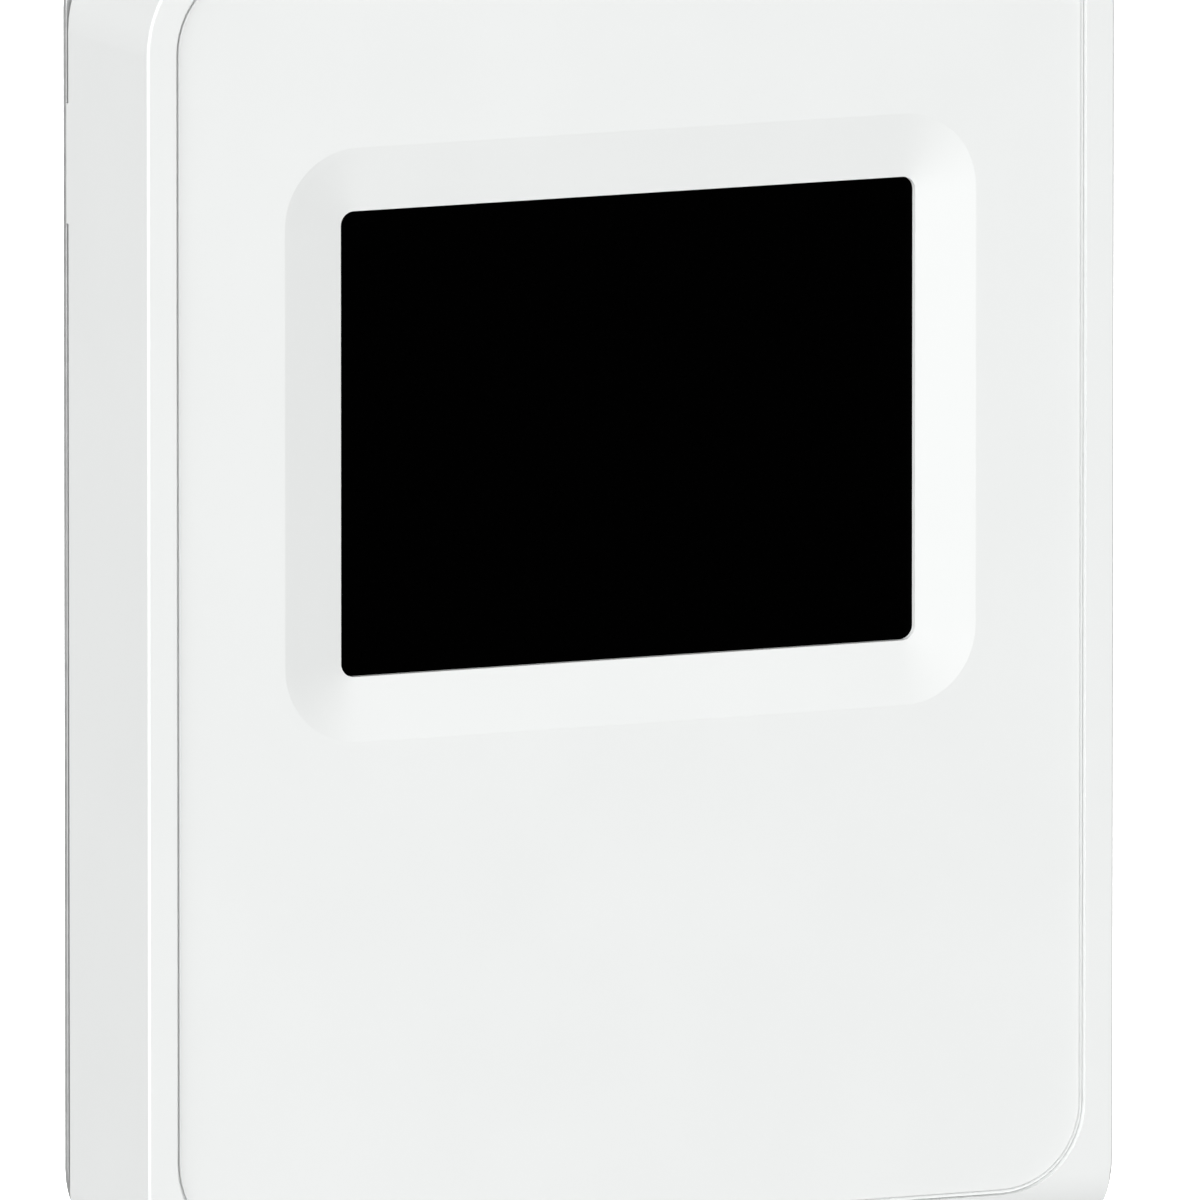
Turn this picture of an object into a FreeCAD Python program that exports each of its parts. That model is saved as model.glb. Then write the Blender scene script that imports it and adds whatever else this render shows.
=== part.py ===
import FreeCAD, Part
import math
import os

# Indoor video monitor of a door-entry set, hung on a wall plate.
# Millimetres. X to the right, +Y into the wall, +Z up.
# Origin: centre of the wall plate's back face, which lies on the wall (Y = 0).

# ---- driving dimensions -------------------------------------------------------------------------
BODY_W = 121.0
BODY_H = 163.0
BODY_D = 23.5            # front of the rim to the rear edge of the shell
BODY_R = 13.95           # corners seen from the front
CHIN_R = 11.8            # round from the front into the underside
EDGE_R = 0.3             # outer front edge
REAR_EDGE_R = 0.2
WALL = 2.2

PLATE_T = 0.8            # sheet steel, flush with the sides of the body
PLATE_DROP = 0.5         # its upper edge lies this far below the top of the body
PLATE_H = 156.8
PLATE_R = 10.9
SHADOW_GAP = 0.5         # between plate and shell
REST_GAP = 0.05          # between the spacers of the monitor and the plate

OPENING_W = 113.9        # opening of the rim, which the facia fills
OPENING_H = 149.1
OPENING_R = 10.3
RIM_TOP = 3.7
PANEL_SINK = 0.46        # recess of the facia behind the rim
PANEL_GAP = 0.48         # groove all round its raised field
PANEL_STEP = 0.45        # height of the field over the flange that forms the floor of the groove
PANEL_FIT = 0.05         # play of the flange in the opening of the rim
PANEL_T = 1.66
PANEL_EDGE_R = 0.2
TAPE_T = 0.15
WEB_T = 1.8              # web of the chassis behind the facia

SCREEN_W = 71.9          # visible screen
SCREEN_H = 54.0
SCREEN_R = 1.63
SCREEN_DROP = 60.4       # centre of the screen below the top of the body
BEVEL_W = 86.5           # outer edge of the slanted frame round the screen
BEVEL_H = 68.9
BEVEL_R = 9.0
BEVEL_D = 0.83

GLASS_W = 79.6
GLASS_H = 66.6
GLASS_T = 1.1
GLASS_R = 2.0
GASKET_T = 0.6
CELL_W = 76.9            # 3.5 inch display
CELL_H = 63.9
CELL_T = 1.6
BACKLIGHT_T = 2.0
SHEET_T = 0.5
TRAY_SCREW_X = 43.0
TRAY_SCREW_DZ = 24.0
FLEX_HALF = 13.0         # half width of the flat cable
FLEX_T = 0.2
SOCKET_SLOT = 1.2        # middle of the socket's slot in front of the board

COVER_T = 2.0
COVER_GAP = 0.15
EAR_T = 2.0              # screw ears inside the shell
EAR_HALF = 3.2
SPACER_DROP = (36.3, 22.4)   # lower and upper end of the side spacers below the top of the body
PAD_X = 50.0             # spacer pads on the rear cover
PAD_Z = (-62.0, -50.0)
PAD_HALF = 3.0
HOOK_X = 38.0
HOOK_Z = 45.0
HOOK_W = 8.0
HOOK_STEM = 1.0
HOOK_LIP = 4.6
HOOK_LIP_T = 1.0
LIFT = 6.0               # upward travel that frees the monitor from the hooks

WALL_HOLE_X = 40.0
WALL_HOLE_Z = 63.0
WALL_HOLE_R = 2.2
BOX_HOLE_X = 30.0        # 60 mm screw spacing of a flush box
BOX_SLOT_L = 8.0
WINDOW_W = 42.0          # cable window of the plate
WINDOW_H = 50.0
BAY_X = 18.0             # half width of the wiring bay in the rear cover
BAY_Z = 13.0             # its half height
BAY_WALL = 1.2
POCKET_W = 10.0          # dish over a wall screw's head
POCKET_WIDE = 13.0       # dish over a flush-box screw's head
POCKET_R = 4.0
POCKET_DEPTH = 1.8

SCREW_R = 1.25           # shank of the self-tapping screws
SCREW_CLEAR_R = 1.5      # clearance hole for them
POST_R = 3.0
SMALL_SCREW_R = 1.0      # screws of the display tray
SMALL_CLEAR_R = 1.2
SMALL_POST_R = 2.4
COVER_HEAD = (2.5, 1.3)  # head radius and height
COVER_HEAD_SINK = 1.4
BOARD_HEAD = (2.6, 1.5)
TRAY_HEAD = (2.0, 1.2)

BOARD_W = 96.0
BOARD_Z = (-60.0, 62.0)
BOARD_T = 1.6
BOARD_DEPTH = 9.3        # from the rear edge of the shell in to the back of the board
CHIP_Z = -8.0

BUTTON_X = 35.0
BUTTON_DEPTH = 7.0       # its axis, measured in the same way, as are the next depths
BUTTON_R = 1.5
PRESS = 0.6              # travel of the button and its plunger
PLUNGER_TOP = -69.2
PLUNGER_R = 1.0
PLUNGER_L = 2.8

SPEAKER_X = -14.0
SPEAKER_DEPTH = 8.3
SPEAKER_W = 35.0
SPEAKER_D = 11.0
SPEAKER_FACE = -80.0
SPEAKER_TOP = -71.5
SLOT_COUNT = 7           # sound slots in the underside
SLOT_PITCH = 3.4
SLOT_W = 1.4
SLOT_L = 6.8
MIC_X = 12.0
MIC_DEPTH = 7.4
MIC_R = 3.0
MIC_L = 2.7
MIC_HOLE_R = 0.75
MIC_STAND = 1.2          # floor of the rubber boot under the microphone

TERMINAL_PITCH = 5.08
TERMINAL_DEPTH = 1.6
TERMINAL_WAYS = 4
WELL_Z = 7.0             # height of the clamp screws
WELL_R = 1.95

CLEAR = 1.0              # how far a cutting shape runs past the face that it cuts
ROOT = 0.5               # how deep an added shape sinks into the piece that it joins

# ---- places worked out from them ----------------------------------------------------------------
BODY_TOP = PLATE_H / 2 + PLATE_DROP
BODY_BOTTOM = BODY_TOP - BODY_H
BODY_Z = (BODY_TOP + BODY_BOTTOM) / 2
REAR = -(PLATE_T + SHADOW_GAP)
FRONT = REAR - BODY_D
OPENING_Z = BODY_TOP - RIM_TOP - OPENING_H / 2
PANEL_FRONT = FRONT + PANEL_SINK
PANEL_BACK = PANEL_FRONT + PANEL_T
WEB_FRONT = PANEL_BACK + TAPE_T
WEB_BACK = WEB_FRONT + WEB_T
SCREEN_Z = BODY_TOP - SCREEN_DROP
GLASS_BACK = PANEL_BACK + GLASS_T
CELL_FRONT = GLASS_BACK + GASKET_T
CELL_BACK = CELL_FRONT + CELL_T
LIGHT_BACK = CELL_BACK + BACKLIGHT_T
TRAY_BACK = LIGHT_BACK + SHEET_T
COVER_FRONT = REAR - COVER_T
BOARD_BACK = REAR - BOARD_DEPTH
BOARD_FRONT = BOARD_BACK - BOARD_T
BUTTON_Y = REAR - BUTTON_DEPTH
SPEAKER_Y = REAR - SPEAKER_DEPTH
MIC_Y = REAR - MIC_DEPTH
TERMINAL_BACK = REAR - TERMINAL_DEPTH
BOTTOM_INSIDE = BODY_BOTTOM + WALL
EAR_FRONT = COVER_FRONT - EAR_T
SPACER_BACK = REAR + SHADOW_GAP - REST_GAP
CELL_LOW = SCREEN_Z - CELL_H / 2
SOCKET_Z = CELL_LOW - 14.0

COVER_SCREWS = [(sx * x, z) for sx in (-1, 1) for x, z in ((51.0, 69.4), (53.8, 0.0), (50.0, -66.0))]
BOARD_SCREWS = [(sx * 43.0, z) for sx in (-1, 1) for z in (57.0, -55.0)]
TRAY_SCREWS = [(sx * TRAY_SCREW_X, SCREEN_Z + sz * TRAY_SCREW_DZ) for sx in (-1, 1) for sz in (1, -1)]
HOOKS = [(sx * HOOK_X, sz * HOOK_Z) for sx in (-1, 1) for sz in (-1, 1)]
WALL_HOLES = [(sx * WALL_HOLE_X, sz * WALL_HOLE_Z) for sx in (-1, 1) for sz in (-1, 1)]


# ---- geometry helpers ---------------------------------------------------------------------------
def point(x, y, z):
    return FreeCAD.Vector(x, y, z)


def box(x0, x1, y0, y1, z0, z1):
    return Part.makeBox(x1 - x0, y1 - y0, z1 - z0, point(x0, y0, z0))


def outline(w, h, r, y, cx=0.0, cz=0.0):
    """Rectangle with round corners in the plane at y, from the lower left corner round."""
    x, z, k = w / 2, h / 2, r * (1 - math.sqrt(0.5))
    corners = [(-1, -1), (1, -1), (1, 1), (-1, 1)]
    arcs = []
    for i, (sx, sz) in enumerate(corners):
        on_z = (sx * x, sz * (z - r))
        on_x = (sx * (x - r), sz * z)
        first, last = (on_z, on_x) if i % 2 == 0 else (on_x, on_z)
        arcs.append((first, (sx * (x - k), sz * (z - k)), last))
    edges = []
    for i, arc in enumerate(arcs):
        a, b, c = [point(cx + u, y, cz + v) for u, v in arc]
        edges.append(Part.Arc(a, b, c).toShape())
        u, v = arcs[(i + 1) % 4][0]
        edges.append(Part.makeLine(c, point(cx + u, y, cz + v)))
    return Part.Wire(edges)


def slab(w, h, r, y0, y1, cx=0.0, cz=0.0):
    """Plate with round corners between the planes y0 and y1."""
    face = Part.Face(outline(w, h, r, y0, cx, cz))
    return face.extrude(point(0, y1 - y0, 0))


def rod_y(r, x, z, y0, y1):
    return Part.makeCylinder(r, y1 - y0, point(x, y0, z), point(0, 1, 0))


def rod_z(r, x, y, z0, z1):
    return Part.makeCylinder(r, z1 - z0, point(x, y, z0))


def join(first, *others):
    return first.multiFuse(list(others)).removeSplitter()


def chin(front, bottom, radius):
    """Side profile across the whole width of the body, whose front turns into the underside on an arc."""
    top, rear, half = BODY_TOP + 1, REAR + 5, BODY_W
    centre_y, centre_z = front + radius, bottom + radius
    s = radius * math.sqrt(0.5)
    start, end = point(-half, front, centre_z), point(-half, centre_y, bottom)
    turn = Part.Arc(start, point(-half, centre_y - s, centre_z - s), end).toShape()
    corners = [end, point(-half, rear, bottom), point(-half, rear, top), point(-half, front, top), start]
    sides = [Part.makeLine(a, b) for a, b in zip(corners, corners[1:])]
    face = Part.Face(Part.Wire([turn] + sides))
    return face.extrude(point(2 * half, 0, 0))


def edges_at(shape, axis, level):
    """Edges that lie in the plane at this level along the axis."""
    found = []
    for edge in shape.Edges:
        span = edge.BoundBox
        low, high = getattr(span, axis + "Min"), getattr(span, axis + "Max")
        if abs(low - level) < 0.01 and abs(high - level) < 0.01:
            found.append(edge)
    return found


def screws(places, head_r, head_y0, head_y1, shank_r, tip_y):
    """Pan-head screws along Y with a cross recess, one solid each; the head lies on the wall side."""
    solids = []
    for x, z in places:
        solid = join(rod_y(head_r, x, z, head_y0, head_y1), rod_y(shank_r, x, z, tip_y, head_y0))
        reach, slot, depth = head_r * 0.6, head_r * 0.13, (head_y1 - head_y0) * 0.6
        for a, b in ((reach, slot), (slot, reach)):
            solid = solid.cut(box(x - a, x + a, head_y1 - depth, head_y1 + 1, z - b, z + b))
        solids.append(solid)
    return solids


def headed(places, head, seat, shank_r, tip_y):
    """Screws of one kind, whose heads of a given (radius, height) sit at the plane seat."""
    return screws(places, head[0], seat, seat + head[1], shank_r, tip_y)


def bent_path(points, radius, shift=0.0):
    """Path at X = 0 through (y, z) points with square turns, moved sideways by shift."""
    runs = []
    for (y0, z0), (y1, z1) in zip(points, points[1:]):
        length = math.hypot(y1 - y0, z1 - z0)
        runs.append(((y1 - y0) / length, (z1 - z0) / length))
    at = (points[0][0] - shift * runs[0][1], points[0][1] + shift * runs[0][0])
    edges = []
    for corner, d, e in zip(points[1:], runs, runs[1:]):
        centre = [c - radius * a + radius * b for c, a, b in zip(corner, d, e)]
        left = 1 if d[0] * e[1] - d[1] * e[0] > 0 else -1
        r = radius - left * shift
        before = (centre[0] - r * e[0], centre[1] - r * e[1])
        after = (centre[0] + r * d[0], centre[1] + r * d[1])
        middle = [c + r * math.sqrt(0.5) * (a - b) for c, a, b in zip(centre, d, e)]
        edges.append(Part.makeLine(point(0, *at), point(0, *before)))
        edges.append(Part.Arc(point(0, *before), point(0, *middle), point(0, *after)).toShape())
        at = after
    d = runs[-1]
    end = (points[-1][0] - shift * d[1], points[-1][1] + shift * d[0])
    edges.append(Part.makeLine(point(0, *at), point(0, *end)))
    return edges


def ribbon(points, radius, thickness, x0, x1):
    """Flat cable of constant thickness that follows the path."""
    one = bent_path(points, radius, thickness / 2)
    other = bent_path(points, radius, -thickness / 2)
    ends = []
    for i in (0, -1):
        ends.append(Part.makeLine(one[i].Vertexes[i].Point, other[i].Vertexes[i].Point))
    face = Part.Face(Part.Wire(Part.__sortEdges__(one + other + ends)))
    solid = face.extrude(point(x1 - x0, 0, 0))
    solid.translate(point(x0, 0, 0))
    return solid


# ---- the shell ----------------------------------------------------------------------------------
def cavity():
    """Inside of the shell behind the lip of its rim, down to the rear edge."""
    room = slab(BODY_W - 2 * WALL, BODY_H - 2 * WALL, BODY_R - WALL, WEB_FRONT, REAR + CLEAR, 0, BODY_Z)
    return room.common(chin(FRONT + WALL, BOTTOM_INSIDE, CHIN_R - WALL))


def housing():
    """Deep shell: side walls, rim, rounded chin, screw ears, sound slots and a spacer at each side."""
    block = slab(BODY_W, BODY_H, BODY_R, FRONT, REAR, 0, BODY_Z)
    shell = block.makeFillet(EDGE_R, edges_at(block, "Y", FRONT))
    shell = shell.makeFillet(REAR_EDGE_R, edges_at(shell, "Y", REAR))
    shell = shell.common(chin(FRONT, BODY_BOTTOM, CHIN_R))
    shell = shell.cut(cavity())
    shell = shell.cut(slab(OPENING_W, OPENING_H, OPENING_R, FRONT - CLEAR, WEB_FRONT, 0, OPENING_Z))
    wall = BODY_W / 2 - WALL
    added = []
    for x, z in COVER_SCREWS:
        inner, outer = sorted((x - math.copysign(EAR_HALF, x), math.copysign(wall + 0.1, x)))
        ear = box(inner, outer, EAR_FRONT, COVER_FRONT, z - EAR_HALF, z + EAR_HALF).common(block)
        added.append(ear.cut(rod_y(SCREW_CLEAR_R, x, z, EAR_FRONT - CLEAR, COVER_FRONT + CLEAR)))
    low, high = [BODY_TOP - drop for drop in SPACER_DROP]
    for sx in (-1, 1):
        inner, outer = sorted((sx * wall, sx * BODY_W / 2))
        added.append(box(inner, outer, REAR - ROOT, SPACER_BACK, low, high))
    shell = join(shell, *added)
    below, above = BODY_BOTTOM - CLEAR, BOTTOM_INSIDE + CLEAR
    for i in range(SLOT_COUNT):
        x = SPEAKER_X + (i - (SLOT_COUNT - 1) / 2) * SLOT_PITCH
        y0, y1 = SPEAKER_Y - SLOT_L / 2, SPEAKER_Y + SLOT_L / 2
        shell = shell.cut(box(x - SLOT_W / 2, x + SLOT_W / 2, y0, y1, below, above))
    shell = shell.cut(rod_z(MIC_HOLE_R, MIC_X, MIC_Y, below, above))
    return shell.cut(rod_z(BUTTON_R + 0.2, BUTTON_X, BUTTON_Y, below, above))


def chassis():
    """Plate against the lip of the rim, with a display window and posts for cover, board and tray."""
    slack = 0.2
    top, bottom = BODY_TOP - WALL - slack, BODY_BOTTOM + CHIN_R - 0.9
    w, h, cz = BODY_W - 2 * (WALL + slack), top - bottom, (top + bottom) / 2
    plate = slab(w, h, BODY_R - WALL - slack, WEB_FRONT, WEB_BACK, 0, cz)
    w, h, corner = GLASS_W + 4 * slack, GLASS_H + 4 * slack, GLASS_R + 2 * slack
    plate = plate.cut(slab(w, h, corner, WEB_FRONT - CLEAR, WEB_BACK + CLEAR, 0, SCREEN_Z))
    kinds = [(COVER_SCREWS, POST_R, SCREW_R, EAR_FRONT), (BOARD_SCREWS, POST_R, SCREW_R, BOARD_FRONT),
             (TRAY_SCREWS, SMALL_POST_R, SMALL_SCREW_R, LIGHT_BACK)]
    posts = []
    for places, r, bore, end in kinds:
        for x, z in places:
            post = rod_y(r, x, z, WEB_BACK - ROOT, end)
            posts.append(post.cut(rod_y(bore, x, z, WEB_BACK + 0.3, end + CLEAR)))
    return join(plate, *posts)


def front_panel():
    """Facia: a raised field on a flange, with a flat slanted frame that leads down to the screen."""
    field = slab(OPENING_W - 2 * PANEL_GAP, OPENING_H - 2 * PANEL_GAP, OPENING_R - PANEL_GAP,
                 PANEL_FRONT, PANEL_BACK, 0, OPENING_Z)
    field = field.makeFillet(PANEL_EDGE_R, edges_at(field, "Y", PANEL_FRONT))
    flange = slab(OPENING_W - 2 * PANEL_FIT, OPENING_H - 2 * PANEL_FIT, OPENING_R - PANEL_FIT,
                  PANEL_FRONT + PANEL_STEP, PANEL_BACK, 0, OPENING_Z)
    panel = join(field, flange)
    wide = outline(BEVEL_W, BEVEL_H, BEVEL_R, PANEL_FRONT, 0, SCREEN_Z)
    narrow = outline(SCREEN_W, SCREEN_H, SCREEN_R, PANEL_FRONT + BEVEL_D, 0, SCREEN_Z)
    recess = Part.makeLoft([wide, narrow], True, True)
    panel = panel.cut(recess)
    return panel.cut(slab(SCREEN_W, SCREEN_H, SCREEN_R, PANEL_FRONT, PANEL_BACK + CLEAR, 0, SCREEN_Z))


def panel_tape():
    """Adhesive frame between facia and web."""
    inset, band = 1.5, 6.0
    outer = slab(OPENING_W - 2 * inset, OPENING_H - 2 * inset, OPENING_R - inset,
                 PANEL_BACK, WEB_FRONT, 0, OPENING_Z)
    inner = slab(OPENING_W - 2 * (inset + band), OPENING_H - 2 * (inset + band), 4.0,
                 PANEL_BACK - CLEAR, WEB_FRONT + CLEAR, 0, OPENING_Z)
    return outer.cut(inner)


def rear_cover():
    """Back of the monitor with hook slots, screw-head pockets and the walled wiring bay."""
    trim = WALL + COVER_GAP
    cover = slab(BODY_W - 2 * trim, BODY_H - 2 * trim, BODY_R - trim, COVER_FRONT, REAR, 0, BODY_Z)
    pockets = [(x, z - LIFT / 2, POCKET_W, POCKET_W + LIFT) for x, z in WALL_HOLES]
    pockets += [(sx * BOX_HOLE_X, -LIFT / 2, POCKET_WIDE, POCKET_W + LIFT) for sx in (-1, 1)]
    edge = 2 * BAY_WALL
    skirt = slab(2 * BAY_X + edge, 2 * BAY_Z + edge, 2.0, BOARD_BACK + 0.2, COVER_FRONT + ROOT)
    added = [skirt]
    for x, z, w, h in pockets:
        dish = slab(w + edge, h + edge, 4.9, REAR - POCKET_DEPTH - BAY_WALL, COVER_FRONT + ROOT, x, z)
        added.append(dish)
    for x in (-PAD_X, PAD_X):
        added.append(box(x - PAD_HALF, x + PAD_HALF, REAR - ROOT, SPACER_BACK, *PAD_Z))
    cover = join(cover, *added)
    cover = cover.cut(slab(2 * BAY_X, 2 * BAY_Z, 0.9, BOARD_BACK, REAR + CLEAR))
    for x, z, w, h in pockets:
        cover = cover.cut(slab(w, h, POCKET_R, REAR - POCKET_DEPTH, REAR + CLEAR, x, z))
    half, below = HOOK_W / 2 + 0.4, HOOK_STEM + LIFT + 1.0
    front, back = COVER_FRONT - CLEAR, REAR + CLEAR
    for x, z in HOOKS:
        cover = cover.cut(box(x - half, x + half, front, back, z - below, z + REST_GAP))
    for x, z in COVER_SCREWS:
        cover = cover.cut(rod_y(2.7, x, z, REAR - COVER_HEAD_SINK, REAR + CLEAR))
        cover = cover.cut(rod_y(SCREW_CLEAR_R, x, z, COVER_FRONT - CLEAR, REAR))
    return cover


# ---- display ------------------------------------------------------------------------------------
def touch_glass():
    return slab(GLASS_W, GLASS_H, GLASS_R, PANEL_BACK, GLASS_BACK, 0, SCREEN_Z)


def glass_gasket():
    """Foam frame that is wider at the top and the bottom than at the sides."""
    side, end = 2.0, 4.0
    outer = slab(CELL_W, CELL_H, 1.0, GLASS_BACK, CELL_FRONT, 0, SCREEN_Z)
    w, h = CELL_W - 2 * side, CELL_H - 2 * end
    inner = slab(w, h, 1.0, GLASS_BACK - CLEAR, CELL_FRONT + CLEAR, 0, SCREEN_Z)
    return outer.cut(inner)


def display_layer(front, back):
    """One full-size layer of the display: the cell or its backlight."""
    return slab(CELL_W, CELL_H, 0.6, front, back, 0, SCREEN_Z)


def display_tray():
    """Sheet-metal tray round cell and backlight, with four screw ears and a gap for the flat cable."""
    gap = 0.1
    w, h = CELL_W + 2 * gap, CELL_H + 2 * gap
    edge = CELL_FRONT + 0.5
    tray = slab(w + 2 * SHEET_T, h + 2 * SHEET_T, 1.2, edge, TRAY_BACK, 0, SCREEN_Z)
    tray = tray.cut(slab(w, h, 0.7, edge - CLEAR, LIGHT_BACK, 0, SCREEN_Z))
    low, half = SCREEN_Z - h / 2, FLEX_HALF + 3.0
    tray = tray.cut(box(-half, half, edge - CLEAR, LIGHT_BACK, low - 2, low + 0.5))
    ears = []
    for dz in (TRAY_SCREW_DZ, -TRAY_SCREW_DZ):
        ears.append(slab(2 * TRAY_SCREW_X + 6.0, 8.0, 2.0, LIGHT_BACK, TRAY_BACK, 0, SCREEN_Z + dz))
    tray = join(tray, *ears)
    for x, z in TRAY_SCREWS:
        tray = tray.cut(rod_y(SMALL_CLEAR_R, x, z, LIGHT_BACK - CLEAR, TRAY_BACK + CLEAR))
    return tray


def display_flex():
    """Flat cable out of the lower edge of the cell, back and down into the socket on the board."""
    y0, y1 = CELL_FRONT + CELL_T / 2, BOARD_FRONT - SOCKET_SLOT
    turn = CELL_LOW - 5.0
    route = [(y0, CELL_LOW), (y0, turn), (y1, turn), (y1, SOCKET_Z + 1.0)]
    return ribbon(route, 1.6, FLEX_T, -FLEX_HALF, FLEX_HALF)


# ---- electronics --------------------------------------------------------------------------------
def main_board():
    low, high = BOARD_Z
    board = slab(BOARD_W, high - low, 1.5, BOARD_FRONT, BOARD_BACK, 0, (low + high) / 2)
    for x, z in BOARD_SCREWS:
        board = board.cut(rod_y(SCREW_CLEAR_R, x, z, BOARD_FRONT - CLEAR, BOARD_BACK + CLEAR))
    return board


def chip(cx, cz, w, h, t):
    """Moulded chip on the front of the board with a chamfered top and a pin-one dimple."""
    top, inset = BOARD_FRONT - t, 1.4
    body = box(cx - w / 2, cx + w / 2, top, BOARD_FRONT, cz - h / 2, cz + h / 2)
    body = body.makeChamfer(0.25, edges_at(body, "Y", top))
    return body.cut(rod_y(0.5, cx - w / 2 + inset, cz + h / 2 - inset, top - CLEAR, top + 0.15))


def shield_can():
    """Thin pressed can with a grid of vent holes in its lid."""
    x, z, w, h = 25.0, -44.0, 26.0, 18.0
    sheet, pitch, vent_r = 0.3, 4.0, 0.6
    lid = BOARD_FRONT - 2.4
    can = slab(w, h, 0.8, lid, BOARD_FRONT, x, z)
    can = can.cut(slab(w - 2 * sheet, h - 2 * sheet, 0.5, lid + sheet, BOARD_FRONT + CLEAR, x, z))
    for i in range(-2, 3):
        for j in range(-1, 2):
            can = can.cut(rod_y(vent_r, x + pitch * i, z + pitch * j, lid - CLEAR, lid + CLEAR))
    return can


def bus_coil():
    """Choke with a wound waist between two flanges, standing on the board."""
    x, z, flange, flange_t = -32.0, -44.0, 10.0, 1.2
    top = BOARD_FRONT - 5.4
    flanges = [slab(flange, flange, 1.5, y, y + flange_t, x, z) for y in (top, BOARD_FRONT - flange_t)]
    return join(rod_y(3.9, x, z, top + ROOT, BOARD_FRONT - ROOT), *flanges)


def capacitors():
    """Three upright cans with a rounded top edge."""
    r, z, first, pitch = 3.0, -50.0, -14.0, 8.5
    top = BOARD_FRONT - 5.6
    cans = []
    for i in range(3):
        can = rod_y(r, first + pitch * i, z, top, BOARD_FRONT)
        cans.append(can.makeFillet(0.5, edges_at(can, "Y", top)))
    return cans


def flex_socket():
    """Low socket that grips the lower end of the flat cable."""
    half, slot = FLEX_HALF + 2.0, FLEX_HALF + 0.2
    body = box(-half, half, BOARD_FRONT - 2.2, BOARD_FRONT, SOCKET_Z - 3, SOCKET_Z + 2)
    y0, y1 = BOARD_FRONT - SOCKET_SLOT - FLEX_T, BOARD_FRONT - SOCKET_SLOT + FLEX_T
    return body.cut(box(-slot, slot, y0, y1, SOCKET_Z - 0.2, SOCKET_Z + 3))


def terminal_x(i):
    return (i - (TERMINAL_WAYS - 1) / 2) * TERMINAL_PITCH


def bus_terminal():
    """Terminal block on the rear of the board: screw wells face the wall, wires enter from below."""
    half, low, high, step = TERMINAL_WAYS / 2 * TERMINAL_PITCH, 1.0, 11.0, 2.0
    block = box(-half, half, BOARD_BACK, TERMINAL_BACK, low, high)
    lowered = box(-half - CLEAR, half + CLEAR, TERMINAL_BACK - 1.6, TERMINAL_BACK + CLEAR, 0, low + step)
    block = block.cut(lowered)
    for i in range(TERMINAL_WAYS):
        x = terminal_x(i)
        block = block.cut(rod_y(WELL_R, x, WELL_Z, TERMINAL_BACK - 5.3, TERMINAL_BACK + CLEAR))
        block = block.cut(box(x - 1.5, x + 1.5, TERMINAL_BACK - 6.4, TERMINAL_BACK - 3.4, 0, WELL_Z - 2))
    return block


def terminal_screws():
    places = [(terminal_x(i), WELL_Z) for i in range(TERMINAL_WAYS)]
    return screws(places, 1.8, TERMINAL_BACK - 2.4, TERMINAL_BACK - 1.0, 1.2, TERMINAL_BACK - 5.2)


def reset_switch():
    """Side-acting switch body at the lower edge of the board, with a bore for the plunger."""
    half, low, high, foot_high = 3.0, -71.0, -66.0, -57.0
    left, right = BUTTON_X - half, BUTTON_X + half
    body = box(left, right, BOARD_BACK, BOARD_BACK + 4.6, low, high)
    foot = box(left, right, BOARD_BACK, BOARD_BACK + 1.0, high - ROOT, foot_high)
    bore = rod_z(PLUNGER_R + 0.15, BUTTON_X, BUTTON_Y, low - CLEAR, PLUNGER_TOP + PRESS + 0.2)
    return join(body, foot).cut(bore)


def reset_plunger():
    return rod_z(PLUNGER_R, BUTTON_X, BUTTON_Y, PLUNGER_TOP - PLUNGER_L, PLUNGER_TOP)


def reset_button():
    """Round push button with a collar that rests on the floor of the shell and a stem up to the plunger."""
    tip = BODY_BOTTOM + 0.4
    cap = rod_z(BUTTON_R, BUTTON_X, BUTTON_Y, tip, BOTTOM_INSIDE + 0.2)
    cap = cap.makeFillet(0.25, edges_at(cap, "Z", tip))
    collar = rod_z(2.6, BUTTON_X, BUTTON_Y, BOTTOM_INSIDE + REST_GAP, BOTTOM_INSIDE + 1.0)
    stem = rod_z(1.1, BUTTON_X, BUTTON_Y, BOTTOM_INSIDE, PLUNGER_TOP - PLUNGER_L)
    return join(cap, collar, stem)


# ---- sound --------------------------------------------------------------------------------------
def oval(w, d, z0, z1):
    """Block with half-round ends over the sound slots."""
    r = d / 2 - 0.01
    block = slab(w, d, r, 0, z1 - z0)
    block.rotate(point(0, 0, 0), point(1, 0, 0), 90)
    block.translate(point(SPEAKER_X, SPEAKER_Y, z0))
    return block


def speaker_frame():
    """Basket that faces down, with the magnet on top."""
    wall, top = 1.2, SPEAKER_FACE + 4.5
    basket = oval(SPEAKER_W, SPEAKER_D, SPEAKER_FACE, top)
    hollow = oval(SPEAKER_W - 2 * wall, SPEAKER_D - 2 * wall, SPEAKER_FACE - CLEAR, top - 1.0)
    magnet = box(SPEAKER_X - 7, SPEAKER_X + 7, SPEAKER_Y - 4, SPEAKER_Y + 4, top - ROOT, SPEAKER_TOP)
    return join(basket.cut(hollow), magnet)


def speaker_cone():
    """Shallow diaphragm with a raised centre."""
    skin = oval(SPEAKER_W - 2.6, SPEAKER_D - 2.6, SPEAKER_FACE + 0.7, SPEAKER_FACE + 1.2)
    return join(skin, oval(SPEAKER_W - 14, SPEAKER_D - 6, SPEAKER_FACE + 1.0, SPEAKER_FACE + 2.1))


def speaker_gasket(room):
    ring = oval(SPEAKER_W, SPEAKER_D, BOTTOM_INSIDE, SPEAKER_FACE)
    ring = ring.cut(oval(SPEAKER_W - 3, SPEAKER_D - 3, BOTTOM_INSIDE - CLEAR, SPEAKER_FACE + CLEAR))
    return ring.common(room)


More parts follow.
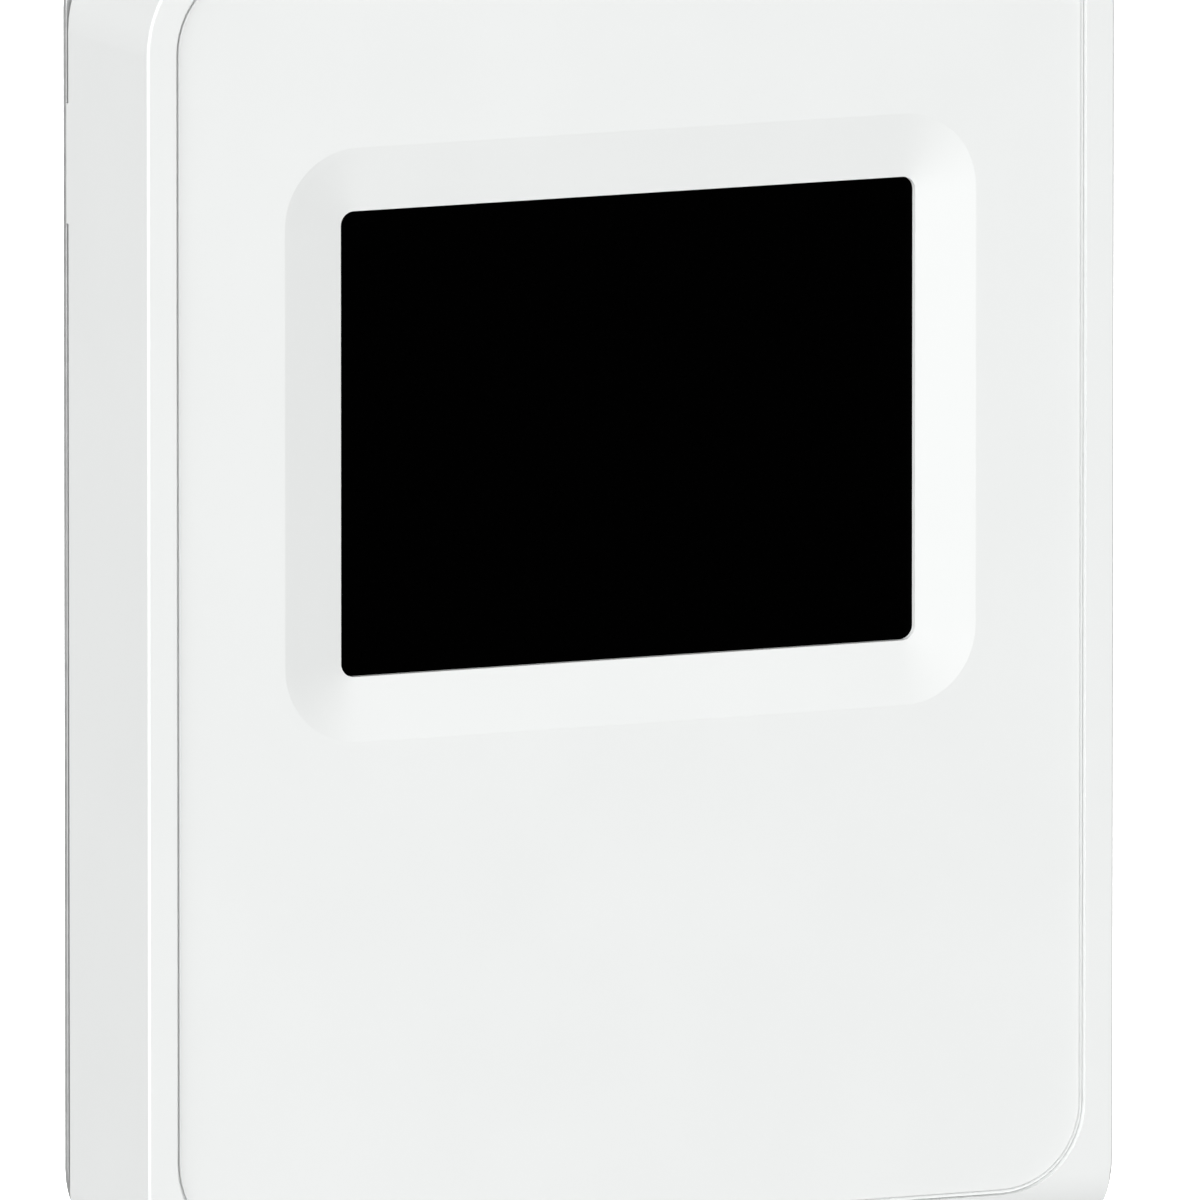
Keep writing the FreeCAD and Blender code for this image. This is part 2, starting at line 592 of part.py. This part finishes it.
def speaker_lead():
    """Two insulated wires from the speaker up to the front of the board."""
    spread, bend, r, pad_z = 2.5, 1.0, 0.5, -57.0
    y = BOARD_FRONT - 1.2
    wires = []
    for x in (SPEAKER_X - spread, SPEAKER_X + spread):
        route = Part.Wire(bent_path([(y, SPEAKER_TOP), (y, pad_z), (BOARD_FRONT, pad_z)], bend))
        start = Part.Wire(Part.makeCircle(r, point(0, y, SPEAKER_TOP), point(0, 0, 1)))
        wire = route.makePipeShell([start], True, True)
        wire.translate(point(x, 0, 0))
        wires.append(wire)
    return wires


def microphone():
    low = BOTTOM_INSIDE + MIC_STAND
    return rod_z(MIC_R, MIC_X, MIC_Y, low, low + MIC_L)


def microphone_boot(room):
    """Rubber cup round the capsule with a channel down to the sound hole."""
    low = BOTTOM_INSIDE + MIC_STAND
    boot = rod_z(MIC_R + 1.4, MIC_X, MIC_Y, BOTTOM_INSIDE, low + MIC_L + 0.7)
    boot = boot.cut(rod_z(MIC_R, MIC_X, MIC_Y, low, low + MIC_L + 2))
    boot = boot.cut(rod_z(MIC_HOLE_R, MIC_X, MIC_Y, BOTTOM_INSIDE - CLEAR, low + CLEAR))
    return boot.common(room)


# ---- wall plate ---------------------------------------------------------------------------------
def wall_plate():
    """Sheet-steel plate on the wall with cable window, screw holes and four hooks that point up."""
    plate = slab(BODY_W, PLATE_H, PLATE_R, -PLATE_T, 0)
    plate = plate.makeFillet(0.1, edges_at(plate, "Y", -PLATE_T))
    half = HOOK_W / 2
    lip_back = COVER_FRONT - 0.4
    lip_front = lip_back - HOOK_LIP_T
    hooks = []
    for x, z in HOOKS:
        hooks.append(box(x - half, x + half, lip_front, -PLATE_T + ROOT, z - HOOK_STEM, z))
        hooks.append(box(x - half, x + half, lip_front, lip_back, z - HOOK_STEM, z + HOOK_LIP))
    plate = join(plate, *hooks)
    front, back = -PLATE_T - CLEAR, CLEAR
    plate = plate.cut(slab(WINDOW_W, WINDOW_H, 4.0, front, back))
    for x, z in WALL_HOLES:
        plate = plate.cut(rod_y(WALL_HOLE_R, x, z, front, back))
    ends = BOX_SLOT_L / 2 - WALL_HOLE_R
    for x in (-BOX_HOLE_X, BOX_HOLE_X):
        plate = plate.cut(box(x - ends, x + ends, front, back, -WALL_HOLE_R, WALL_HOLE_R))
        for dx in (-ends, ends):
            plate = plate.cut(rod_y(WALL_HOLE_R, x + dx, 0, front, back))
    return plate


# ---- all nodes ----------------------------------------------------------------------------------
def nodes():
    room = cavity()
    return {
        "housing": housing(),
        "chassis": chassis(),
        "front_panel": front_panel(),
        "panel_tape": panel_tape(),
        "touch_glass": touch_glass(),
        "glass_gasket": glass_gasket(),
        "lcd_cell": display_layer(CELL_FRONT, CELL_BACK),
        "backlight": display_layer(CELL_BACK, LIGHT_BACK),
        "display_tray": display_tray(),
        "tray_screws": headed(TRAY_SCREWS, TRAY_HEAD, TRAY_BACK, SMALL_SCREW_R, WEB_BACK + 0.5),
        "display_flex": display_flex(),
        "flex_socket": flex_socket(),
        "main_board": main_board(),
        "board_screws": headed(BOARD_SCREWS, BOARD_HEAD, BOARD_BACK, SCREW_R, BOARD_FRONT - 5),
        "processor": chip(0, CHIP_Z, 14, 14, 1.2),
        "memory_chips": [chip(x, CHIP_Z, 8, 12, 1.0) for x in (-16, 16)],
        "shield_can": shield_can(),
        "bus_coil": bus_coil(),
        "capacitors": capacitors(),
        "bus_terminal": bus_terminal(),
        "terminal_screws": terminal_screws(),
        "speaker_frame": speaker_frame(),
        "speaker_cone": speaker_cone(),
        "speaker_gasket": speaker_gasket(room),
        "speaker_lead": speaker_lead(),
        "microphone": microphone(),
        "microphone_boot": microphone_boot(room),
        "reset_switch": reset_switch(),
        "reset_plunger": reset_plunger(),
        "reset_button": reset_button(),
        "rear_cover": rear_cover(),
        "cover_screws": headed(COVER_SCREWS, COVER_HEAD, REAR - COVER_HEAD_SINK, SCREW_R, COVER_FRONT - 9),
        "wall_plate": wall_plate(),
    }


def main():
    os.makedirs("parts", exist_ok=True)
    for name, made in nodes().items():
        shape = Part.makeCompound(made) if isinstance(made, list) else made
        if not shape.isValid() or not shape.Solids:
            raise ValueError(f"{name} isn't a valid solid")
        print(f"{name}: {len(shape.Solids)} solid(s), {shape.Volume / 1000:.2f} cm3")
        shape.exportStep(f"parts/{name}.step")


main()
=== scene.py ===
import math

import bpy
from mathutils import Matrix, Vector


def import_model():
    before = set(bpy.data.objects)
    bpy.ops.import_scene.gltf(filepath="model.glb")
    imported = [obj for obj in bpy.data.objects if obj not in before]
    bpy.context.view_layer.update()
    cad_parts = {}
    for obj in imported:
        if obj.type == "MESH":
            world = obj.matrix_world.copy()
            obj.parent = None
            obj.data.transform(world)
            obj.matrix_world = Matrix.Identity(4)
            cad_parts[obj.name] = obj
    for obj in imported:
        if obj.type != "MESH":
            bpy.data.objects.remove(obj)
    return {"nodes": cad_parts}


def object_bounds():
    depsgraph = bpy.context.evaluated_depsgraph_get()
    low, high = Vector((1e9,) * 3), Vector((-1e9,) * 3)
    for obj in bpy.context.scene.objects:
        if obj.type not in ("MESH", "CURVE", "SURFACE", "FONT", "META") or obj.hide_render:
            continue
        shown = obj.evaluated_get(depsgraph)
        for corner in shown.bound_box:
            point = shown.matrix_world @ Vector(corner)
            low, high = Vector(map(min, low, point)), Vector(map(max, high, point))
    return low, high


# Looks of a wall-mounted video door-entry monitor. Metres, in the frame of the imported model:
# +X right, +Y into the wall, +Z up, origin at the centre of the wall plate's back face.

MM = 0.001

# ---- view of the reference ----------------------------------------------------------------------
VIEW_AZIMUTH = -23.44          # degrees; the camera stands to the left of the object
VIEW_ELEVATION = 8.82
AIM_X = -4.16 * MM             # the middle of the picture, on the plane of the rim
AIM_BELOW_TOP = 80.13 * MM
FRAME_WIDTH = 137.84 * MM      # what the picture spans at that plane
LENS = 1500.0                  # long lens, so that the view is nearly parallel
SENSOR = 36.0
CLIP_NEAR = 0.1
CLIP_FAR = 40.0

# ---- light --------------------------------------------------------------------------------------
LIGHT_DISTANCE = 10.0          # of every softbox from the middle of the object
KEY = 5.18                     # radiance of the key softbox
FILL = 3.0                     # radiance of the fill softboxes
EDGE_FILL = 1.0                # radiance of the one that the wall plate's left edge mirrors
WORLD_FILL = 0.05              # light that comes from everywhere
BACKDROP = 1.0                 # brightness of the backdrop as the camera sees it
FLOOR_HALF = 6.0               # half the side of the floor
FLOOR_DROP = 0.30              # from the lowest point of the object down to the floor

# ---- finish -------------------------------------------------------------------------------------
WHITE = (0.670, 0.681, 0.676)  # moulded white of the shell and the facia
ROUGHNESS_SPREAD = 0.06        # of the plastics, to both sides of their mean
STREAK_STRETCH = (0.05, 1.0, 1.0)   # draws the rolling lines of the metals out along X
STREAK_SHADE = 0.85            # colour of a metal's darker lines, as a share of the lighter ones


def shader(name):
    """New material with an empty Principled shader; returns material, node tree and shader."""
    material = bpy.data.materials.new(name)
    material.use_nodes = True
    return material, material.node_tree, material.node_tree.nodes["Principled BSDF"]


def noise(tree, scale, detail=4.0, roughness=0.5):
    """Noise over the object's own coordinates, with scale in features per metre."""
    place = tree.nodes.new("ShaderNodeTexCoord")
    made = tree.nodes.new("ShaderNodeTexNoise")
    made.inputs["Scale"].default_value = scale
    made.inputs["Detail"].default_value = detail
    made.inputs["Roughness"].default_value = roughness
    tree.links.new(place.outputs["Object"], made.inputs["Vector"])
    return made


def bump(tree, bsdf, height, strength, distance):
    """Relief of the surface, with distance in metres."""
    made = tree.nodes.new("ShaderNodeBump")
    made.inputs["Strength"].default_value = strength
    made.inputs["Distance"].default_value = distance
    tree.links.new(height, made.inputs["Height"])
    tree.links.new(made.outputs["Normal"], bsdf.inputs["Normal"])


def spread(tree, fac, low, high, target):
    """Maps a 0 to 1 factor onto the range low to high of a socket."""
    made = tree.nodes.new("ShaderNodeMapRange")
    made.inputs["To Min"].default_value = low
    made.inputs["To Max"].default_value = high
    tree.links.new(fac, made.inputs["Value"])
    tree.links.new(made.outputs["Result"], target)


def mottle(tree, bsdf, fac, first, second):
    """Base colour that drifts between two close colours."""
    ramp = tree.nodes.new("ShaderNodeValToRGB")
    ramp.color_ramp.elements[0].position = 0.3
    ramp.color_ramp.elements[1].position = 0.7
    ramp.color_ramp.elements[0].color = (*first, 1)
    ramp.color_ramp.elements[1].color = (*second, 1)
    tree.links.new(fac, ramp.inputs["Fac"])
    tree.links.new(ramp.outputs["Color"], bsdf.inputs["Base Color"])


def plastic(name, colour, drift=0.01, roughness=0.5, grain=2600.0, depth=0.004 * MM, specular=0.35):
    """Moulded plastic with a fine spark-eroded grain and a very slight drift of colour."""
    material, tree, bsdf = shader(name)
    second = [max(0.0, c - drift) for c in colour]
    broad = noise(tree, 60.0, 3.0)
    mottle(tree, bsdf, broad.outputs["Fac"], colour, second)
    fine = noise(tree, grain, 6.0, 0.6)
    low, high = roughness - ROUGHNESS_SPREAD, roughness + ROUGHNESS_SPREAD
    spread(tree, fine.outputs["Fac"], low, high, bsdf.inputs["Roughness"])
    bump(tree, bsdf, fine.outputs["Fac"], 0.5, depth)
    bsdf.inputs["Specular IOR Level"].default_value = specular
    return material


def metal(name, colour, roughness=0.32, lines=900.0, metallic=1.0):
    """Plated metal with faint rolling lines; a dull, passivated surface is only partly metallic."""
    material, tree, bsdf = shader(name)
    bsdf.inputs["Metallic"].default_value = metallic
    second = [c * STREAK_SHADE for c in colour]
    place = tree.nodes.new("ShaderNodeTexCoord")
    stretch = tree.nodes.new("ShaderNodeMapping")
    stretch.inputs["Scale"].default_value = STREAK_STRETCH
    streaks = tree.nodes.new("ShaderNodeTexNoise")
    streaks.inputs["Scale"].default_value = lines
    tree.links.new(place.outputs["Object"], stretch.inputs["Vector"])
    tree.links.new(stretch.outputs["Vector"], streaks.inputs["Vector"])
    mottle(tree, bsdf, streaks.outputs["Fac"], colour, second)
    spread(tree, streaks.outputs["Fac"], roughness - 0.08, roughness + 0.12, bsdf.inputs["Roughness"])
    bump(tree, bsdf, streaks.outputs["Fac"], 0.3, 0.003 * MM)
    return material


def screen_black():
    """Switched-off screen: deep black glass with a matt anti-glare face that reflects next to nothing."""
    material, tree, bsdf = shader("screen_black")
    fine = noise(tree, 5000.0, 2.0)
    mottle(tree, bsdf, fine.outputs["Fac"], (0.0, 0.0, 0.0), (0.0002, 0.0002, 0.0002))
    spread(tree, fine.outputs["Fac"], 0.30, 0.36, bsdf.inputs["Roughness"])
    bump(tree, bsdf, fine.outputs["Fac"], 0.2, 0.001 * MM)
    bsdf.inputs["Specular IOR Level"].default_value = 0.01
    return material


def materials():
    """The finish of every node, by node name."""
    shell = plastic("shell_white", WHITE)
    screws = metal("screw_steel", (0.55, 0.55, 0.56))
    chips = plastic("chip_black", (0.03, 0.03, 0.034), 0.008, 0.45, 5200.0)
    foam = plastic("black_foam", (0.022, 0.022, 0.022), 0.01, 0.95, 3000.0, 0.05 * MM, 0.1)
    made = {
        "housing": shell,
        "front_panel": plastic("facia_white", WHITE),
        "chassis": plastic("chassis_grey", (0.45, 0.46, 0.46), 0.02, 0.6),
        "panel_tape": plastic("tape_white", (0.8, 0.8, 0.78), 0.03, 0.7),
        "touch_glass": screen_black(),
        "glass_gasket": foam,
        "lcd_cell": plastic("lcd_dark", (0.05, 0.05, 0.06), 0.01, 0.15),
        "backlight": plastic("light_guide", (0.9, 0.9, 0.9), 0.03, 0.2),
        "display_tray": metal("tray_steel", (0.62, 0.62, 0.63)),
        "tray_screws": screws,
        "display_flex": plastic("flex_film", (0.42, 0.19, 0.04), 0.05, 0.3, 900.0),
        "flex_socket": plastic("socket_beige", (0.62, 0.57, 0.44), 0.03, 0.5),
        "main_board": plastic("board_green", (0.012, 0.11, 0.045), 0.01, 0.35, 1500.0, 0.01 * MM),
        "board_screws": screws,
        "processor": chips,
        "memory_chips": chips,
        "shield_can": metal("can_tin", (0.7, 0.7, 0.7)),
        "bus_coil": plastic("coil_ferrite", (0.07, 0.07, 0.075), 0.02, 0.6),
        "capacitors": metal("capacitor_can", (0.75, 0.75, 0.76), 0.25),
        "bus_terminal": plastic("terminal_grey", (0.20, 0.24, 0.26), 0.02, 0.45),
        "terminal_screws": screws,
        "speaker_frame": plastic("speaker_black", (0.03, 0.03, 0.03), 0.01, 0.5),
        "speaker_cone": plastic("cone_film", (0.06, 0.06, 0.065), 0.01, 0.35),
        "speaker_gasket": foam,
        "speaker_lead": plastic("lead_insulation", (0.35, 0.03, 0.02), 0.03, 0.4),
        "microphone": metal("mic_can", (0.7, 0.7, 0.7), 0.3),
        "microphone_boot": foam,
        "reset_switch": plastic("switch_black", (0.04, 0.04, 0.04), 0.01, 0.45),
        "reset_plunger": plastic("plunger_black", (0.04, 0.04, 0.04), 0.01, 0.45),
        "reset_button": plastic("button_grey", (0.36, 0.38, 0.38), 0.02, 0.45),
        "rear_cover": plastic("cover_white", (0.80, 0.81, 0.805), 0.012, 0.55, 2200.0, 0.006 * MM),
        "cover_screws": screws,
        "wall_plate": metal("plate_steel", (0.40, 0.405, 0.405), 0.40, 900.0, 0.5),
    }
    return made


def finish_nodes(frame):
    """Gives every CAD node its material."""
    made = materials()
    for name, obj in frame["nodes"].items():
        obj.data.materials.clear()
        obj.data.materials.append(made[name])


def away(azimuth, elevation):
    """Unit vector from the object towards a viewer at that azimuth and elevation in degrees."""
    a, e = math.radians(azimuth), math.radians(elevation)
    return Vector((math.sin(a) * math.cos(e), -math.cos(a) * math.cos(e), math.sin(e)))


def camera(low, high):
    """Scene camera, aimed at a point of the front plane below the top of the object."""
    aim = Vector((AIM_X, low.y, high.z - AIM_BELOW_TOP))
    direction = away(VIEW_AZIMUTH, VIEW_ELEVATION)
    distance = FRAME_WIDTH * LENS / SENSOR
    data = bpy.data.cameras.new("camera")
    data.lens = LENS
    data.sensor_width = SENSOR
    data.clip_start = CLIP_NEAR
    data.clip_end = CLIP_FAR
    made = bpy.data.objects.new("camera", data)
    made.location = aim + direction * distance
    made.rotation_mode = "QUATERNION"
    made.rotation_quaternion = (-direction).to_track_quat("-Z", "Y")
    bpy.context.scene.collection.objects.link(made)
    bpy.context.scene.camera = made


def softbox(name, azimuth, elevation, width, height, radiance, centre):
    """Rectangular area light that faces the object; radiance is what the object sees of it."""
    data = bpy.data.lights.new(name, "AREA")
    data.shape = "RECTANGLE"
    data.size, data.size_y = width, height
    data.energy = radiance * math.pi * width * height
    made = bpy.data.objects.new(name, data)
    direction = away(azimuth, elevation)
    made.location = centre + direction * LIGHT_DISTANCE
    made.rotation_mode = "QUATERNION"
    made.rotation_quaternion = (-direction).to_track_quat("-Z", "Y")
    made.visible_camera = False
    bpy.context.scene.collection.objects.link(made)


def lights(centre):
    """One wide key from the front left, far off so that it falls evenly, and fills for the other sides.

    All the fills stand behind the plane of the wall, so they leave the front alone.
    """
    softbox("key", -41.3, 12.7, 20.0, 9.0, KEY, centre)
    softbox("edge_fill", -157.0, -5.0, 5.0, 6.0, EDGE_FILL, centre)
    softbox("side_fill", 125.0, 10.0, 12.0, 9.0, FILL, centre)
    softbox("top_fill", 140.0, 50.0, 8.0, 8.0, FILL, centre)
    softbox("under_fill", 140.0, -50.0, 8.0, 8.0, FILL, centre)


def world():
    """White backdrop for the camera, and a weak even fill for the object."""
    made = bpy.data.worlds.new("studio")
    made.use_nodes = True
    tree = made.node_tree
    tree.nodes.clear()
    path = tree.nodes.new("ShaderNodeLightPath")
    fill = tree.nodes.new("ShaderNodeBackground")
    fill.inputs["Strength"].default_value = WORLD_FILL
    backdrop = tree.nodes.new("ShaderNodeBackground")
    backdrop.inputs["Strength"].default_value = BACKDROP
    mix = tree.nodes.new("ShaderNodeMixShader")
    out = tree.nodes.new("ShaderNodeOutputWorld")
    for background in (fill, backdrop):
        background.inputs["Color"].default_value = (1, 1, 1, 1)
    tree.links.new(path.outputs["Is Camera Ray"], mix.inputs["Fac"])
    tree.links.new(fill.outputs["Background"], mix.inputs[1])
    tree.links.new(backdrop.outputs["Background"], mix.inputs[2])
    tree.links.new(mix.outputs["Shader"], out.inputs["Surface"])
    bpy.context.scene.world = made


def floor(low):
    """Wide white floor well below the wall-hung object, which it gives no light.

    Seen from underneath it is clear, so that it doesn't hide the underside of the object.
    """
    z = low.z - FLOOR_DROP
    mesh = bpy.data.meshes.new("floor")
    corners = [(x * FLOOR_HALF, y * FLOOR_HALF, z) for x, y in ((-1, -1), (1, -1), (1, 1), (-1, 1))]
    mesh.from_pydata(corners, [], [(0, 1, 2, 3)])
    made = bpy.data.objects.new("floor", mesh)
    material, tree, bsdf = shader("floor_white")
    broad = noise(tree, 3.0, 2.0)
    mottle(tree, bsdf, broad.outputs["Fac"], (0.9, 0.9, 0.9), (0.88, 0.88, 0.88))
    bsdf.inputs["Roughness"].default_value = 0.8
    bsdf.inputs["Emission Color"].default_value = (1, 1, 1, 1)
    bsdf.inputs["Emission Strength"].default_value = 1.0
    side = tree.nodes.new("ShaderNodeNewGeometry")
    clear = tree.nodes.new("ShaderNodeBsdfTransparent")
    mix = tree.nodes.new("ShaderNodeMixShader")
    tree.links.new(side.outputs["Backfacing"], mix.inputs["Fac"])
    tree.links.new(bsdf.outputs["BSDF"], mix.inputs[1])
    tree.links.new(clear.outputs["BSDF"], mix.inputs[2])
    tree.links.new(mix.outputs["Shader"], tree.nodes["Material Output"].inputs["Surface"])
    mesh.materials.append(material)
    made.visible_diffuse = False
    made.visible_glossy = False
    made.visible_shadow = False
    bpy.context.scene.collection.objects.link(made)


def main():
    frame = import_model()
    cad_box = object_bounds()
    low, high = cad_box
    scene = bpy.context.scene
    scene.view_settings.view_transform = "Standard"
    finish_nodes(frame)
    camera(low, high)
    lights((low + high) / 2)
    world()
    floor(low)


main()
